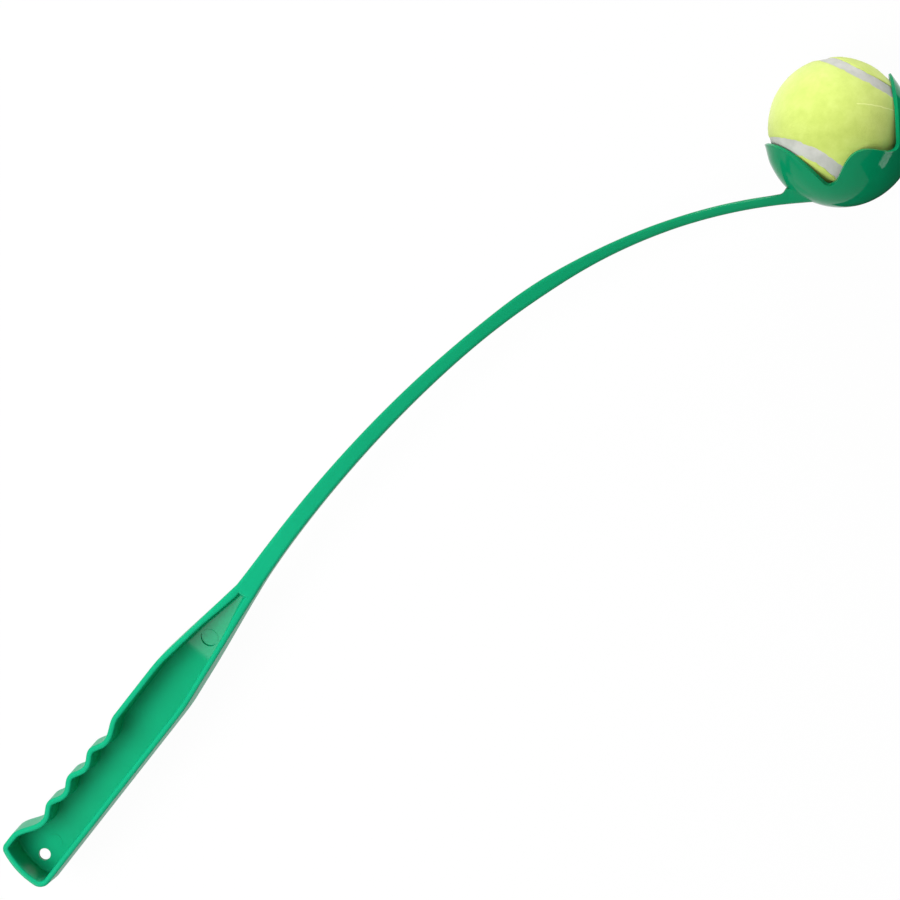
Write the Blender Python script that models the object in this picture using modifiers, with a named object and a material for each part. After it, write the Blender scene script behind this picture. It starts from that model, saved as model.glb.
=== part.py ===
# A one-piece ball launcher with a tennis ball in its cup, lying on its side.
# X runs along the handle towards the arm, Y towards the finger grips, Z towards the open side of the
# handle. The origin is on the handle's flat back. All lengths are in metres.

import math

import bmesh
import bpy
from mathutils import Euler, Matrix, Vector

# Handle, measured along X from its butt end unless a line says otherwise
HANDLE_LENGTH = 0.1800
ORIGIN_REACH = 0.0600
HANDLE_WIDTH = 0.0256
HANDLE_DEPTH = 0.0250
HANDLE_WALL = 0.0028
HANDLE_FLOOR = 0.0025
HANDLE_FLARE = 0.00075
HANDLE_FRONT_EDGE = 0.0006
HANDLE_BACK_EDGE = 0.0030

# The rounded butt end
BUTT_RISE = 0.0162
BUTT_RADIUS = 0.0430
BUTT_APEX_DROP = 0.0035
BUTT_TOP_CORNER = 0.0038
BUTT_LOW_CORNER = 0.0041
BUTT_SHELF = 0.0129
SHARPEST_CORNER = 0.0010

# Finger grips: three ridges between four valleys
GRIP_START = 0.0289
GRIP_PITCH = 0.01675
GRIP_RIDGES = 3
GRIP_STEPS = 10
GRIP_VALLEY = 0.0037
GRIP_RIDGE = 0.0031
PALM_RISE = 0.0130

# The taper from the palm to the neck, and the depth's change, all measured back from the handle's end
TOP_TAPER_RUN = 0.0532
LOW_TAPER_RUN = 0.0641
BEND_SOFTNESS = 0.0018
NECK_BACK_RUN = 0.0450
NECK_FRONT_RUN = 0.0200
NECK_BACK_OVERLAP = 0.0050
NECK_FRONT_OVERLAP = 0.0180

# The pocket that the handle is hollowed by, with its ramp and its ejector pads
POCKET_END_WALL = 0.0025
POCKET_TIP_WALL = 0.0041
POCKET_TIP_DEPTH = 0.0040
POCKET_TIP_RUN = 0.0280
POCKET_SIDE_FILLET = 0.0008
POCKET_BUTT_FILLET = 0.0033
RAMP_RUN = 0.0425
PAD_DIAMETER = 0.0092
PAD_SETBACK = 0.0293
PAD_PROUD = 0.0006

# Hanging hole near the butt
HOLE_DIAMETER = 0.0060
HOLE_REACH = 0.0094
HOLE_DROP = 0.0017

# Arm: a bow drawn by two curves that meet at its middle, with its own heading at each knot
NECK_DROP = 0.0004
NECK_HEADING = math.radians(3.9)
NECK_PULL = 0.0596
BOW_REACH = 0.1823
BOW_DROP = 0.0154
BOW_HEADING = math.radians(-14.4)
BOW_PULL_BEFORE = 0.0592
BOW_PULL_AFTER = 0.0517
ROOT_REACH = 0.3136
ROOT_DROP = 0.0913
ROOT_HEADING = math.radians(-47.3)
ROOT_PULL = 0.0514
ROOT_EXTRA = 0.0120
NECK_WIDTH = 0.0107
ARM_WIDTH_LOW = 0.0092
ARM_WIDTH_TOP = 0.0049
ARM_SWELL = 0.0011
NECK_DEPTH = 0.0140
ARM_DEPTH_TOP = 0.0100
ARM_EDGE = 0.0017
ROOT_FLARE_RUN = 0.0140
ROOT_FLARE_TOP = 0.0080
ROOT_FLARE_LOW = 0.0010
ROOT_FILLET = 0.0013
ROOT_FILLET_RUN = 0.0034

# How the arm's width runs, as shares of its length
ARM_NECK_SHARE = 0.035
ARM_TAPER_SHARE = 0.80
ARM_SWELL_SHARE = 0.585
ARM_SWELL_SPREAD_SHARE = 0.075

# Ball
BALL_DIAMETER = 0.0650
FELT_THICKNESS = 0.0030
CORE_WALL = 0.0033
PIECE_GAP = 0.0003
SEAM_WIDTH = 0.0075
SEAM_SINK = 0.0004
SEAM_SHARE = 0.156
SEAM_TURN = Euler((math.radians(-11.3), math.radians(3.1), math.radians(-35.9)))

# Cup, measured from the centre of its round bottom
CUP_REACH = 0.3503
CUP_DROP = 0.0886
CUP_WALL = 0.0022
CUP_CLEARANCE = 0.0004
CUP_BALL_RISE = 0.0043
MOUTH_ANGLE = math.radians(67.3)
TIP_RISE = 0.0137
TIP_WALL = 0.0011
LIP_ROUND = 0.00045
FAR_LOBE_ANGLE = math.radians(47.2)
FAR_VALLEY_ANGLE = math.radians(52.8)
FAR_LOBE_ROUND_SHARE = 1.0
ARM_LOBE_RISE = 0.0132
ARM_LOBE_ANGLE = math.radians(52.0)
ARM_VALLEY_ANGLE = math.radians(56.0)
ARM_LOBE_ROUND_SHARE = 0.85
SIDE_LOBE_FALL = 0.0111
VALLEY_FALL = 0.0192
VALLEY_ROUND = 0.0022

# How finely round shapes are drawn
BUTT_STEPS = 5
ROOT_STEPS = 7
ROOT_FILLET_STEPS = 4
TALL_LOBE_STEPS = 11
SIDE_LOBE_STEPS = 12
VALLEY_STEPS = 4
CUP_OUTER_ROWS = 9
CUP_INNER_ROWS = 8
ARM_STEPS = 34
BALL_STEPS = 36
CORE_STEPS = 24
ROUND_STEPS = 24
SEAM_STEPS = 90
CUT_OVERRUN = 0.0040

HALF_WIDTH = HANDLE_WIDTH / 2
MIDDLE_HEIGHT = HANDLE_DEPTH / 2
TOP_BEND = HANDLE_LENGTH - TOP_TAPER_RUN
LOW_BEND = HANDLE_LENGTH - LOW_TAPER_RUN
POCKET_END = HANDLE_LENGTH - POCKET_END_WALL
RAMP_START = POCKET_END - RAMP_RUN
PAD_REACH = POCKET_END - PAD_SETBACK
BALL_RADIUS = BALL_DIAMETER / 2
CUP_INNER_RADIUS = BALL_RADIUS + CUP_CLEARANCE
CUP_OUTER_RADIUS = CUP_INNER_RADIUS + CUP_WALL
NECK_X = HANDLE_LENGTH - ORIGIN_REACH
MOUTH_AXIS = Vector((math.cos(MOUTH_ANGLE), math.sin(MOUTH_ANGLE), 0))
CUP_CENTRE = Vector((NECK_X + CUP_REACH, -CUP_DROP - NECK_DROP, MIDDLE_HEIGHT))
BALL_CENTRE = CUP_CENTRE + MOUTH_AXIS * CUP_BALL_RISE


def clear_scene():
    for item in list(bpy.data.objects):
        bpy.data.objects.remove(item, do_unlink=True)


def new_collection(name):
    collection = bpy.data.collections.new(name)
    bpy.context.scene.collection.children.link(collection)
    return collection


def new_material(name, colour, roughness):
    material = bpy.data.materials.new(name)
    material.use_nodes = True
    shader = material.node_tree.nodes["Principled BSDF"]
    shader.inputs["Base Color"].default_value = (*colour, 1)
    shader.inputs["Roughness"].default_value = roughness
    shader.inputs["Metallic"].default_value = 0
    return material


def add_object(name, mesh, collection):
    item = bpy.data.objects.new(name, mesh)
    collection.objects.link(item)
    return item


def mark_as_cutter(item):
    item.hide_render = True
    item.display_type = "WIRE"
    return item


def mesh_from(name, build):
    form = bmesh.new()
    build(form)
    bmesh.ops.recalc_face_normals(form, faces=form.faces)
    mesh = bpy.data.meshes.new(name)
    form.to_mesh(mesh)
    form.free()
    return mesh


def add_boolean(item, operation, operand):
    cut = item.modifiers.new(operand.name, "BOOLEAN")
    cut.operation = operation
    cut.object = operand
    cut.solver = "EXACT"


def ease(share):
    share = min(max(share, 0), 1)
    return share * share * (3 - 2 * share)


def swing(share, start, end):
    return start + (end - start) * (1 - math.cos(math.pi * share)) / 2


def bend(distance):
    # Zero before the bend and one to one after it, with a soft change between
    return BEND_SOFTNESS * math.log(1 + math.exp(distance / BEND_SOFTNESS))


# Handle outline

def grip_edge(reach):
    return grip_wave(reach) - bend(reach - TOP_BEND) * top_taper()


def grip_wave(reach):
    valley = HALF_WIDTH - GRIP_VALLEY
    last_valley = GRIP_START + GRIP_RIDGES * GRIP_PITCH
    if reach <= BUTT_SHELF:
        return BUTT_RISE
    if reach <= GRIP_START:
        return swing((reach - BUTT_SHELF) / (GRIP_START - BUTT_SHELF), BUTT_RISE, valley)
    if reach <= last_valley:
        turn = 2 * math.pi * (reach - GRIP_START) / GRIP_PITCH
        return valley + GRIP_RIDGE * (1 - math.cos(turn)) / 2
    if reach <= last_valley + PALM_RISE:
        return swing((reach - last_valley) / PALM_RISE, valley, HALF_WIDTH)
    return HALF_WIDTH


def low_edge(reach):
    return -HALF_WIDTH + bend(reach - LOW_BEND) * low_taper()


def top_taper():
    neck_edge = NECK_WIDTH / 2 * math.cos(NECK_HEADING) - NECK_DROP
    return (HALF_WIDTH - neck_edge) / (HANDLE_LENGTH - TOP_BEND)


def low_taper():
    neck_edge = NECK_WIDTH / 2 * math.cos(NECK_HEADING) + NECK_DROP
    return (HALF_WIDTH - neck_edge) / (HANDLE_LENGTH - LOW_BEND)


def butt_corner(edge, corner, side, inset):
    # The butt is one wide arc, joined to each long edge by a small arc tangent to both
    # Each point comes with how squarely it faces the butt, from one down to zero
    bow = BUTT_RADIUS - inset
    radius = max(corner, SHARPEST_CORNER)
    centre_y = edge - side * radius
    sideways = abs(centre_y + BUTT_APEX_DROP)
    centre_x = BUTT_RADIUS - math.sqrt((bow - radius) ** 2 - sideways ** 2)
    meeting = math.asin(sideways / (bow - radius))
    points = []
    for step in range(1, BUTT_STEPS + 1):
        angle = meeting * step / BUTT_STEPS
        across = side * bow * math.sin(angle) - BUTT_APEX_DROP
        points.append((Vector((BUTT_RADIUS - bow * math.cos(angle), across)), math.cos(angle) ** 2))
    for step in range(1, BUTT_STEPS + 1):
        angle = meeting + (math.pi / 2 - meeting) * step / BUTT_STEPS
        across = centre_y + side * radius * math.sin(angle)
        points.append((Vector((centre_x - radius * math.cos(angle), across)), math.cos(angle) ** 2))
    return points


def handle_reaches():
    last_valley = GRIP_START + GRIP_RIDGES * GRIP_PITCH
    palm = last_valley + PALM_RISE
    bend_start = LOW_BEND - BEND_SOFTNESS * 3
    bend_end = TOP_BEND + BEND_SOFTNESS * 3
    reaches = spread(BUTT_SHELF, GRIP_START, GRIP_STEPS)
    reaches += spread(GRIP_START, last_valley, GRIP_STEPS * GRIP_RIDGES)
    reaches += spread(last_valley, palm, GRIP_STEPS)
    reaches += spread(palm, bend_start, 3)
    reaches += spread(bend_start, bend_end, 12)
    reaches += spread(bend_end, POCKET_END, 9)
    kept = [BUTT_SHELF]
    for reach in sorted(reaches):
        if kept[-1] + SHARPEST_CORNER / 2 < reach < POCKET_END - SHARPEST_CORNER / 2:
            kept.append(reach)
    return kept + [POCKET_END]


def spread(start, end, steps):
    return [start + (end - start) * step / steps for step in range(steps)]


# Arm spine and widths

def curve_point(knots, share):
    rest = 1 - share
    weights = (rest ** 3, 3 * rest ** 2 * share, 3 * rest * share ** 2, share ** 3)
    return sum((knot * weight for knot, weight in zip(knots, weights)), Vector((0, 0)))


def heading(angle):
    return Vector((math.cos(angle), math.sin(angle)))


def arm_spine():
    # Points along the middle of the arm, measured from the butt, evenly spaced
    neck = Vector((HANDLE_LENGTH, -NECK_DROP))
    bow = Vector((HANDLE_LENGTH + BOW_REACH, -NECK_DROP - BOW_DROP))
    root = Vector((HANDLE_LENGTH + ROOT_REACH, -NECK_DROP - ROOT_DROP))
    lower = (neck, neck + heading(NECK_HEADING) * NECK_PULL,
             bow - heading(BOW_HEADING) * BOW_PULL_BEFORE, bow)
    upper = (bow, bow + heading(BOW_HEADING) * BOW_PULL_AFTER,
             root - heading(ROOT_HEADING) * ROOT_PULL, root)
    fine = [curve_point(lower, step / ARM_STEPS) for step in range(ARM_STEPS)]
    fine += [curve_point(upper, step / ARM_STEPS) for step in range(ARM_STEPS + 1)]
    fine.append(root + heading(ROOT_HEADING) * ROOT_EXTRA)
    lengths = [0]
    for before, after in zip(fine, fine[1:]):
        lengths.append(lengths[-1] + (after - before).length)
    return fine, lengths


SPINE, SPINE_LENGTHS = arm_spine()
ARM_LENGTH = SPINE_LENGTHS[-1]


def spine_at(distance):
    last = len(SPINE_LENGTHS) - 2
    index = 0
    while index < last and distance > SPINE_LENGTHS[index + 1]:
        index += 1
    along = (SPINE[index + 1] - SPINE[index]).normalized()
    return SPINE[index] + along * (distance - SPINE_LENGTHS[index]), along


def arm_width(share):
    neck = (NECK_WIDTH - ARM_WIDTH_LOW) * math.exp(-share / ARM_NECK_SHARE)
    taper = ARM_WIDTH_LOW + (ARM_WIDTH_TOP - ARM_WIDTH_LOW) * min(share / ARM_TAPER_SHARE, 1)
    swell = ARM_SWELL * math.exp(-((share - ARM_SWELL_SHARE) / ARM_SWELL_SPREAD_SHARE) ** 2)
    return neck + taper + swell


def root_share(distance):
    # Zero on the arm and one where it meets the cup, rising faster and faster
    share = 1 - (ARM_LENGTH - ROOT_EXTRA - distance) / ROOT_FLARE_RUN
    return min(max(share, 0), 1) ** 2


# Stations along the body: an upper and a lower edge point, and how far along they are

def handle_stations():
    return [(Vector((reach, grip_edge(reach))), Vector((reach, low_edge(reach))), reach)
            for reach in handle_reaches()]


def arm_distances():
    flare_start = ARM_LENGTH - ROOT_FLARE_RUN - ROOT_EXTRA
    fillet_start = ARM_LENGTH - ROOT_FILLET_RUN - ROOT_EXTRA
    fillet_end = fillet_start + ROOT_FILLET * 1.1
    distances = [flare_start * step / ARM_STEPS for step in range(1, ARM_STEPS + 1)]
    distances += spread(flare_start, fillet_start, ROOT_STEPS)[1:]
    distances += [fillet_start + ROOT_FILLET * math.sin(math.pi / 2 * step / ROOT_FILLET_STEPS)
                  for step in range(ROOT_FILLET_STEPS + 1)]
    return distances + spread(fillet_end, ARM_LENGTH, 2) + [ARM_LENGTH]


def fillet_rise(distance):
    # A round in the notch between the arm's upper edge and the cup, which runs on into the cup
    share = (distance - ARM_LENGTH + ROOT_FILLET_RUN + ROOT_EXTRA) / ROOT_FILLET
    if share > 1.01:
        return ROOT_FILLET * 2
    share = min(max(share, 0), 1)
    return ROOT_FILLET * (1 - math.sqrt(1 - share * share))


def arm_stations():
    stations = []
    for distance in arm_distances():
        middle, along = spine_at(distance)
        across = Vector((-along.y, along.x))
        half = arm_width(distance / ARM_LENGTH) / 2
        stations.append((middle + across * half, middle - across * half, HANDLE_LENGTH + distance))
    return stations


def half_depth(reach, side, share):
    # The share is zero on the handle and one on the arm
    along = max(reach - HANDLE_LENGTH, 0)
    arm = (NECK_DEPTH + (ARM_DEPTH_TOP - NECK_DEPTH) * along / ARM_LENGTH) / 2
    arm += (ROOT_FLARE_TOP if side > 0 else ROOT_FLARE_LOW) * root_share(along)
    return MIDDLE_HEIGHT + (arm - MIDDLE_HEIGHT) * share


def front_share(reach):
    start = HANDLE_LENGTH - NECK_FRONT_RUN
    return ease((reach - start) / (NECK_FRONT_RUN + NECK_FRONT_OVERLAP))


def back_share(reach):
    start = HANDLE_LENGTH - NECK_BACK_RUN
    return ease((reach - start) / (NECK_BACK_RUN + NECK_BACK_OVERLAP))


def front_edge(turn):
    def shape(reach, side, towards_butt):
        radius = HANDLE_FRONT_EDGE + (ARM_EDGE - HANDLE_FRONT_EDGE) * back_share(reach)
        drop = radius * (1 - math.cos(turn))
        height = MIDDLE_HEIGHT + half_depth(reach, side, front_share(reach)) - drop
        flare = HANDLE_FLARE * (1 - back_share(reach)) * drop / HANDLE_DEPTH
        return radius * (1 - math.sin(turn)) - flare, height
    return shape


def middle_line(reach, side, towards_butt):
    # Half way down the body's walls, where the notch between the arm and the cup is filled
    rise = fillet_rise(reach - HANDLE_LENGTH) if side > 0 else 0
    return -HANDLE_FLARE / 2 * (1 - back_share(reach)) - rise, MIDDLE_HEIGHT


def back_edge(turn):
    def shape(reach, side, towards_butt):
        radius = HANDLE_BACK_EDGE + (ARM_EDGE - HANDLE_BACK_EDGE) * back_share(reach)
        lift = radius * (1 - math.sin(turn))
        height = MIDDLE_HEIGHT - half_depth(reach, side, back_share(reach)) + lift
        flare = HANDLE_FLARE * (1 - back_share(reach)) * (HANDLE_DEPTH - height) / HANDLE_DEPTH
        return radius * (1 - math.cos(turn)) - flare, height
    return shape


def floor_height(reach):
    front = MIDDLE_HEIGHT + half_depth(POCKET_END, 1, front_share(POCKET_END))
    rise = front - POCKET_TIP_DEPTH - HANDLE_FLOOR
    along = max(0, reach - RAMP_START) / (POCKET_END - RAMP_START)
    return HANDLE_FLOOR + rise * along * ease(along * 2)


def pocket_wall(reach):
    tip = ease((reach - POCKET_END + POCKET_TIP_RUN) / POCKET_TIP_RUN)
    return HANDLE_WALL + (POCKET_TIP_WALL - HANDLE_WALL) * tip


def pocket_mouth(reach, side, towards_butt):
    return pocket_wall(reach), HANDLE_DEPTH + CUT_OVERRUN


def pocket_floor(turn):
    def shape(reach, side, towards_butt):
        radius = POCKET_SIDE_FILLET + (POCKET_BUTT_FILLET - POCKET_SIDE_FILLET) * towards_butt
        floor = floor_height(reach)
        draft = HANDLE_FLARE * (HANDLE_DEPTH - floor) / HANDLE_DEPTH
        inset = pocket_wall(reach) + draft + radius * (1 - math.cos(turn))
        return inset, floor + radius * (1 - math.sin(turn))
    return shape


def inset_edge(points, reaches, side, shape):
    trail = [points[0] - Vector((BUTT_SHELF, 0))] + points + [points[-1] * 2 - points[-2]]
    moved = []
    for index, (point, reach) in enumerate(zip(points, reaches)):
        along = (trail[index + 2] - trail[index]).normalized()
        inset, height = shape(reach, side, 0)
        inward = Vector((along.y, -along.x)) * side
        moved.append((point + inward * inset).to_3d() + Vector((0, 0, height)))
    return moved


def ring_of(stations, shape):
    # One closed outline: the apex of the butt, the upper edge, and the lower edge back again
    side_inset = shape(0, 1, 0)[0]
    butt_inset, butt_height = shape(0, 1, 1)
    edges = []
    for side, edge, corner in ((1, BUTT_RISE, BUTT_TOP_CORNER), (-1, -HALF_WIDTH, BUTT_LOW_CORNER)):
        trail = []
        for point, facing in butt_corner(edge - side * side_inset, corner - side_inset, side, butt_inset):
            trail.append(point.to_3d() + Vector((0, 0, shape(0, side, facing)[1])))
        points = [station[0 if side > 0 else 1] for station in stations]
        reaches = [station[2] for station in stations]
        edges.append(trail + inset_edge(points, reaches, side, shape))
    apex = Vector((butt_inset, -BUTT_APEX_DROP, butt_height))
    return [apex] + edges[0] + edges[1][::-1]


def loft_rings(form, rings):
    # Both ends close by strips from the upper edge to the lower one
    made = []
    for ring in rings:
        made.append([form.verts.new(point - Vector((ORIGIN_REACH, 0, 0))) for point in ring])
    count = len(rings[0])
    for before, after in zip(made, made[1:]):
        for index in range(count):
            following = (index + 1) % count
            form.faces.new((before[index], before[following], after[following], after[index]))
    for ring in (made[0], made[-1]):
        form.faces.new((ring[0], ring[1], ring[-1]))
        for index in range(1, count // 2):
            form.faces.new((ring[index], ring[index + 1], ring[-index - 1], ring[-index]))


def body_shape(form):
    stations = handle_stations() + arm_stations()
    shapes = [front_edge(math.pi / 4 * turn) for turn in range(3)]
    shapes.append(middle_line)
    shapes += [back_edge(math.pi / 6 * turn) for turn in range(4)]
    loft_rings(form, [ring_of(stations, shape) for shape in shapes])


def pocket_shape(form):
    shapes = [pocket_mouth] + [pocket_floor(math.pi / 6 * turn) for turn in range(4)]
    loft_rings(form, [ring_of(handle_stations(), shape) for shape in shapes])


# Cup, in its own frame: Z up the mouth axis, X away from the arm

def half_lobe(angle, rise, round_share):
    # From the tip of a tall lobe down to its foot: azimuth from the tip, and height
    reach = rise + VALLEY_FALL
    lowest = math.acos((VALLEY_ROUND / reach) ** (1 / round_share))
    trail = []
    for step in range(TALL_LOBE_STEPS + 1):
        turn = lowest * step / TALL_LOBE_STEPS
        height = reach * math.cos(turn) ** round_share - VALLEY_FALL
        trail.append((angle * math.sin(turn) ** round_share, height))
    return trail


def valley(start, end):
    # From the foot of a tall lobe, round to the lowest point of the rim
    trail = []
    for step in range(1, VALLEY_STEPS + 1):
        turn = math.pi / 2 * step / VALLEY_STEPS
        height = VALLEY_ROUND * (1 - math.sin(turn)) - VALLEY_FALL
        trail.append((start + (end - start) * (1 - math.cos(turn)), height))
    return trail


def side_lobe():
    start = FAR_VALLEY_ANGLE
    end = math.pi - ARM_VALLEY_ANGLE
    rise = VALLEY_FALL - SIDE_LOBE_FALL
    trail = []
    for step in range(1, SIDE_LOBE_STEPS):
        share = step / SIDE_LOBE_STEPS
        height = rise * (1 - math.cos(2 * math.pi * share)) / 2 - VALLEY_FALL
        trail.append((start + (end - start) * share, height))
    return trail


def rim_columns():
    # Azimuth and rim height of each column, once round the cup from the tip of the far lobe
    half = half_lobe(FAR_LOBE_ANGLE, TIP_RISE, FAR_LOBE_ROUND_SHARE)
    half += valley(FAR_LOBE_ANGLE, FAR_VALLEY_ANGLE) + side_lobe()
    arm_side = half_lobe(ARM_LOBE_ANGLE, ARM_LOBE_RISE, ARM_LOBE_ROUND_SHARE)
    arm_side += valley(ARM_LOBE_ANGLE, ARM_VALLEY_ANGLE)
    half += [(math.pi - azimuth, height) for azimuth, height in arm_side[::-1]]
    return half + [(-azimuth, height) for azimuth, height in half[-2:0:-1]]


def lowered_rim(columns):
    # The same rim moved into the wall by the lip's round, square to its own run
    moved = []
    for index, (azimuth, height) in enumerate(columns):
        before = columns[index - 1]
        after = columns[(index + 1) % len(columns)]
        ring = math.sqrt(CUP_OUTER_RADIUS ** 2 - min(height, 0) ** 2)
        slope = CUP_OUTER_RADIUS / ring
        run = Vector((math.remainder(after[0] - before[0], 2 * math.pi) * ring,
                      (after[1] - before[1]) * slope)).normalized() * LIP_ROUND
        moved.append((azimuth + run.y / ring, height - run.x / slope))
    return moved


def outer_radius(height):
    # The wall thins towards the tips of the tall lobes
    thinned = CUP_WALL - TIP_WALL
    return CUP_OUTER_RADIUS - thinned * (max(height, 0) / TIP_RISE) ** 2


def wall_point(azimuth, height, radius):
    # A round bottom up to the widest ring, and a nearly straight wall above it
    # Heights are those of the outer surface, so that outside and inside stay square to each other
    turn = math.acos(max(min(height, 0) / CUP_OUTER_RADIUS, -1))
    across = radius * math.sin(turn)
    level = radius * math.cos(turn) if height <= 0 else height
    return Vector((across * math.cos(azimuth), across * math.sin(azimuth), level))


def row_height(share, top):
    # Rows are spaced evenly along the wall, from the pole up to the given height
    rise = math.asin(min(top, 0) / CUP_OUTER_RADIUS) + max(top, 0) / CUP_OUTER_RADIUS
    turn = (math.pi / 2 + rise) * share
    if turn <= math.pi / 2:
        return -CUP_OUTER_RADIUS * math.cos(turn)
    return CUP_OUTER_RADIUS * (turn - math.pi / 2)


def cup_shape(form):
    rim = rim_columns()
    lowered = lowered_rim(rim)
    outer_pole = form.verts.new((0, 0, -CUP_OUTER_RADIUS))
    inner_pole = form.verts.new((0, 0, -CUP_INNER_RADIUS))
    strips = []
    for (tip_azimuth, tip_height), (azimuth, top) in zip(rim, lowered):
        points = []
        for row in range(1, CUP_OUTER_ROWS + 1):
            height = row_height(row / CUP_OUTER_ROWS, top)
            points.append(wall_point(azimuth, height, outer_radius(height)))
        points.append(wall_point(tip_azimuth, tip_height, outer_radius(tip_height) - LIP_ROUND))
        points.append(wall_point(tip_azimuth, tip_height, CUP_INNER_RADIUS + LIP_ROUND))
        for row in range(CUP_INNER_ROWS, 0, -1):
            height = row_height(row / CUP_INNER_ROWS, top)
            points.append(wall_point(azimuth, height, CUP_INNER_RADIUS))
        strips.append([form.verts.new(point) for point in points])
    for index, strip in enumerate(strips):
        following = strips[(index + 1) % len(strips)]
        form.faces.new((outer_pole, strip[0], following[0]))
        for row in range(len(strip) - 1):
            form.faces.new((strip[row], strip[row + 1], following[row + 1], following[row]))
        form.faces.new((inner_pole, following[-1], strip[-1]))


def cup_matrix():
    away = Vector((math.sin(MOUTH_ANGLE), -math.cos(MOUTH_ANGLE), 0))
    turn = Matrix((away, MOUTH_AXIS.cross(away), MOUTH_AXIS)).transposed()
    return Matrix.Translation(CUP_CENTRE) @ turn.to_4x4()


def make_cylinder(name, diameter, start, end, place, collection):
    # The ends lie at exact heights, so that two cylinders can share one
    def build(form):
        bmesh.ops.create_cone(form, cap_ends=True, segments=ROUND_STEPS, radius1=diameter / 2,
                              radius2=diameter / 2, depth=end - start)
        for vert in form.verts:
            vert.co.z = end if vert.co.z > 0 else start
    item = add_object(name, mesh_from(name, build), collection)
    item.location = place.to_3d()
    return mark_as_cutter(item)


def make_launcher(parts, cutters, material):
    body = add_object("launcher_moulding", mesh_from("launcher_moulding", body_shape), parts)
    body.data.materials.append(material)

    pocket = add_object("pocket", mesh_from("pocket", pocket_shape), cutters)
    add_boolean(body, "DIFFERENCE", mark_as_cutter(pocket))

    pad_place = Vector((PAD_REACH - ORIGIN_REACH, 0))
    pad_top = floor_height(PAD_REACH) + PAD_PROUD
    above = make_cylinder("pad_clearance", PAD_DIAMETER, pad_top, HANDLE_DEPTH, pad_place, cutters)
    pad_base = HANDLE_FLOOR + PAD_PROUD
    below = make_cylinder("ejector_pad", PAD_DIAMETER, pad_base, pad_top, pad_place, cutters)
    add_boolean(body, "DIFFERENCE", above)
    add_boolean(body, "UNION", below)

    hole_place = Vector((HOLE_REACH - ORIGIN_REACH, -HOLE_DROP))
    hole = make_cylinder("hanging_hole", HOLE_DIAMETER, -CUT_OVERRUN, MIDDLE_HEIGHT, hole_place, cutters)
    add_boolean(body, "DIFFERENCE", hole)

    def ball_space(form):
        bmesh.ops.create_uvsphere(form, u_segments=32, v_segments=16,
                                  radius=CUP_INNER_RADIUS + CUP_WALL / 2)
    trim = add_object("arm_trim", mesh_from("arm_trim", ball_space), cutters)
    trim.location = CUP_CENTRE
    add_boolean(body, "DIFFERENCE", mark_as_cutter(trim))

    cup = add_object("cup", mesh_from("cup", cup_shape), cutters)
    cup.matrix_world = cup_matrix()
    add_boolean(body, "UNION", mark_as_cutter(cup))
    return body


# Ball, in its own frame

def seam_point(share):
    turn = 2 * math.pi * share
    wide = 1 - SEAM_SHARE
    return Vector((wide * math.cos(turn) + SEAM_SHARE * math.cos(3 * turn),
                   wide * math.sin(turn) - SEAM_SHARE * math.sin(3 * turn),
                   2 * math.sqrt(wide * SEAM_SHARE) * math.sin(2 * turn)))


def seam_band(form, width, inner, outer):
    sections = []
    for step in range(SEAM_STEPS):
        point = seam_point(step / SEAM_STEPS)
        along = seam_point((step + 0.5) / SEAM_STEPS) - seam_point((step - 0.5) / SEAM_STEPS)
        across = point.cross(along).normalized() * (width / 2 / BALL_RADIUS)
        left = (point + across).normalized()
        right = (point - across).normalized()
        sections.append([form.verts.new(corner) for corner in
                         (left * inner, left * outer, right * outer, right * inner)])
    for index, section in enumerate(sections):
        following = sections[(index + 1) % SEAM_STEPS]
        for side in range(4):
            form.faces.new((section[side], section[side - 1], following[side - 1], following[side]))


def half_shell_mesh(name, outer, inner):
    # The half of a hollow ball above its joint plane, turned about Z
    rows = CORE_STEPS // 4
    lift = PIECE_GAP / 2
    profile = []
    for row in range(rows, 0, -1):
        profile.append(shell_profile_point(outer, lift, row, rows))
    profile.append(Vector((0, 0, outer)))
    inner_profile = [shell_profile_point(inner, lift, row, rows) for row in range(rows, 0, -1)]
    inner_profile.append(Vector((0, 0, inner)))
    mesh = bpy.data.meshes.new(name)
    points = profile[::-1] + inner_profile
    edges = [(index, index + 1) for index in range(len(points) - 1)]
    mesh.from_pydata(points, edges, [])
    return mesh


def shell_profile_point(radius, lift, row, rows):
    angle = math.pi / 2 * row / rows
    return Vector((radius * math.sin(angle), 0, max(radius * math.cos(angle), lift)))


def make_core_half(name, side, parts, material, seat):
    outer = BALL_RADIUS - FELT_THICKNESS - PIECE_GAP
    item = add_object(name, half_shell_mesh(name, outer, outer - CORE_WALL), parts)
    screw = item.modifiers.new("turned", "SCREW")
    screw.steps = CORE_STEPS
    screw.render_steps = CORE_STEPS
    screw.use_merge_vertices = True
    screw.merge_threshold = PIECE_GAP / 10
    item.data.materials.append(material)
    item.parent = seat
    item.rotation_euler = SEAM_TURN if side > 0 else flipped(SEAM_TURN)
    return item


def flipped(turn):
    return (turn.to_matrix() @ Matrix.Rotation(math.pi, 3, "X")).to_euler()


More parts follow.
